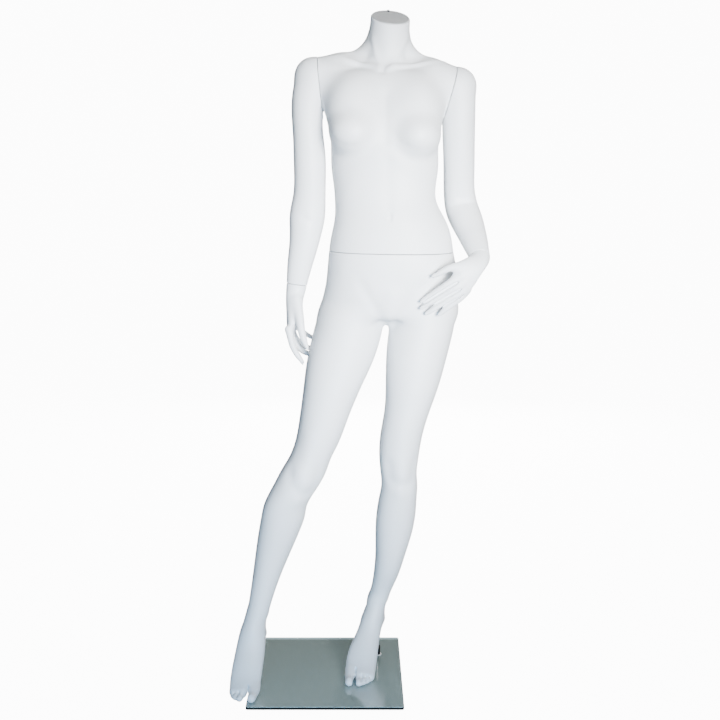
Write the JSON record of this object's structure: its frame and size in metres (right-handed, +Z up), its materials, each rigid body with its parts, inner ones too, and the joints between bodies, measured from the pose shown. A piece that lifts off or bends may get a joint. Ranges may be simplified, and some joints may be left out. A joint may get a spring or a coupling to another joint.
{
  "type": "full body mannequin",
  "caption": "Headless full body female display mannequin with hand on hip, in hollow moulded sections that plug together, standing by a foot rod on a square glass base.",
  "frame": {"origin": "on the floor under the bumpers, at the middle of the whole outline seen from above", "axes": "+Z up, the figure faces -Y, its own left side at +X"},
  "size_m": [0.6244, 0.38, 1.6486],
  "materials": {
    "fibreglass": "matt white paint on hollow fibreglass",
    "fibreglass_plate": "bare moulded fibreglass",
    "neck_cap": "satin grey",
    "glass": "polished grey-green tempered glass",
    "steel": "zinc plated",
    "dark_steel": "black oxide",
    "nylon": "natural",
    "clear_rubber": "translucent"
  },
  "bodies": {
    "stand": {"glass_base_plate": "glass", "bumper_front_right": "clear_rubber", "bumper_front_left": "clear_rubber", "bumper_rear_right": "clear_rubber", "bumper_rear_left": "clear_rubber", "base_bolt": "steel", "lower_washer": "nylon", "upper_washer": "nylon", "rod_collar": "dark_steel", "collar_set_screw": "steel", "foot_rod": "steel"},
    "figure": {"lower_body_shell": "fibreglass", "heel_rod_sleeve": "steel", "hip_top_plate": "fibreglass_plate", "waist_socket": "steel", "waist_socket_screw_1": "steel", "waist_socket_screw_2": "steel", "waist_socket_screw_3": "steel"},
    "waist_ring": {"waist_turning_ring": "nylon"},
    "upper_body": {"torso_shell": "fibreglass", "torso_waist_plate": "fibreglass_plate", "waist_spigot": "steel", "waist_spigot_screw_1": "steel", "waist_spigot_screw_2": "steel", "waist_spigot_screw_3": "steel", "neck_cap": "neck_cap", "neck_cap_screw": "dark_steel", "right_shoulder_plate": "fibreglass_plate", "right_shoulder_socket": "steel", "right_shoulder_socket_screw_1": "steel", "right_shoulder_socket_screw_2": "steel", "left_shoulder_plate": "fibreglass_plate", "left_shoulder_socket": "steel", "left_shoulder_socket_screw_1": "steel", "left_shoulder_socket_screw_2": "steel"},
    "right_shoulder_ring": {"right_shoulder_turning_ring": "nylon"},
    "right_arm": {"right_arm_shell": "fibreglass", "right_arm_top_plate": "fibreglass_plate", "right_shoulder_spigot": "steel", "right_shoulder_spigot_screw_1": "steel", "right_shoulder_spigot_screw_2": "steel", "right_wrist_end_plate": "fibreglass_plate", "right_wrist_socket": "steel"},
    "right_wrist_ring": {"right_wrist_turning_ring": "nylon"},
    "right_hand": {"right_hand": "fibreglass", "right_wrist_spigot": "steel"},
    "left_shoulder_ring": {"left_shoulder_turning_ring": "nylon"},
    "left_arm": {"left_arm_shell": "fibreglass", "left_arm_top_plate": "fibreglass_plate", "left_shoulder_spigot": "steel", "left_shoulder_spigot_screw_1": "steel", "left_shoulder_spigot_screw_2": "steel", "left_wrist_end_plate": "fibreglass_plate", "left_wrist_socket": "steel"},
    "left_wrist_ring": {"left_wrist_turning_ring": "nylon"},
    "left_hand": {"left_hand": "fibreglass", "left_wrist_spigot": "steel"}
  },
  "joints": [
    {"name": "figure_lift", "type": "slide", "parent": "stand", "child": "figure", "axis": [0, 0, 1], "range_m": [0, 0.12]},
    {"name": "waist_turn", "type": "hinge", "parent": "figure", "child": "waist_ring", "pos_m": [0.078, 0.018, 1.0835], "axis": [0.012, -0.03, 0.9995], "range_deg": [-10, 2]},
    {"name": "torso_lift", "type": "slide", "parent": "waist_ring", "child": "upper_body", "axis": [0.012, -0.03, 0.9995], "range_m": [0, 0.05]},
    {"name": "right_arm_turn", "type": "hinge", "parent": "upper_body", "child": "right_shoulder_ring", "pos_m": [-0.0905, 0.048, 1.476], "axis": [-0.9953, 0.0299, -0.0926], "range_deg": [-35, 0]},
    {"name": "right_arm_pull", "type": "slide", "parent": "right_shoulder_ring", "child": "right_arm", "axis": [-0.9953, 0.0299, -0.0926], "range_m": [0, 0.03]},
    {"name": "left_arm_turn", "type": "hinge", "parent": "upper_body", "child": "left_shoulder_ring", "pos_m": [0.216, 0.044, 1.447], "axis": [0.969, 0.0485, -0.2423], "range_deg": [-40, 0]},
    {"name": "left_arm_pull", "type": "slide", "parent": "left_shoulder_ring", "child": "left_arm", "axis": [0.969, 0.0485, -0.2423], "range_m": [0, 0.03]},
    {"name": "right_hand_turn", "type": "hinge", "parent": "right_arm", "child": "right_wrist_ring", "pos_m": [-0.1515, 0.049, 1], "axis": [-0.1337, -0.0297, -0.9906], "range_deg": [-2, 4]},
    {"name": "right_hand_pull", "type": "slide", "parent": "right_wrist_ring", "child": "right_hand", "axis": [-0.1337, -0.0297, -0.9906], "range_m": [0, 0.02]},
    {"name": "left_hand_turn", "type": "hinge", "parent": "left_arm", "child": "left_wrist_ring", "pos_m": [0.2862, -0.046, 1.0745], "axis": [0.1501, -0.8004, -0.5803], "range_deg": [-40, 3]},
    {"name": "left_hand_pull", "type": "slide", "parent": "left_wrist_ring", "child": "left_hand", "axis": [0.1501, -0.8004, -0.5803], "range_m": [0, 0.02]}
  ]
}
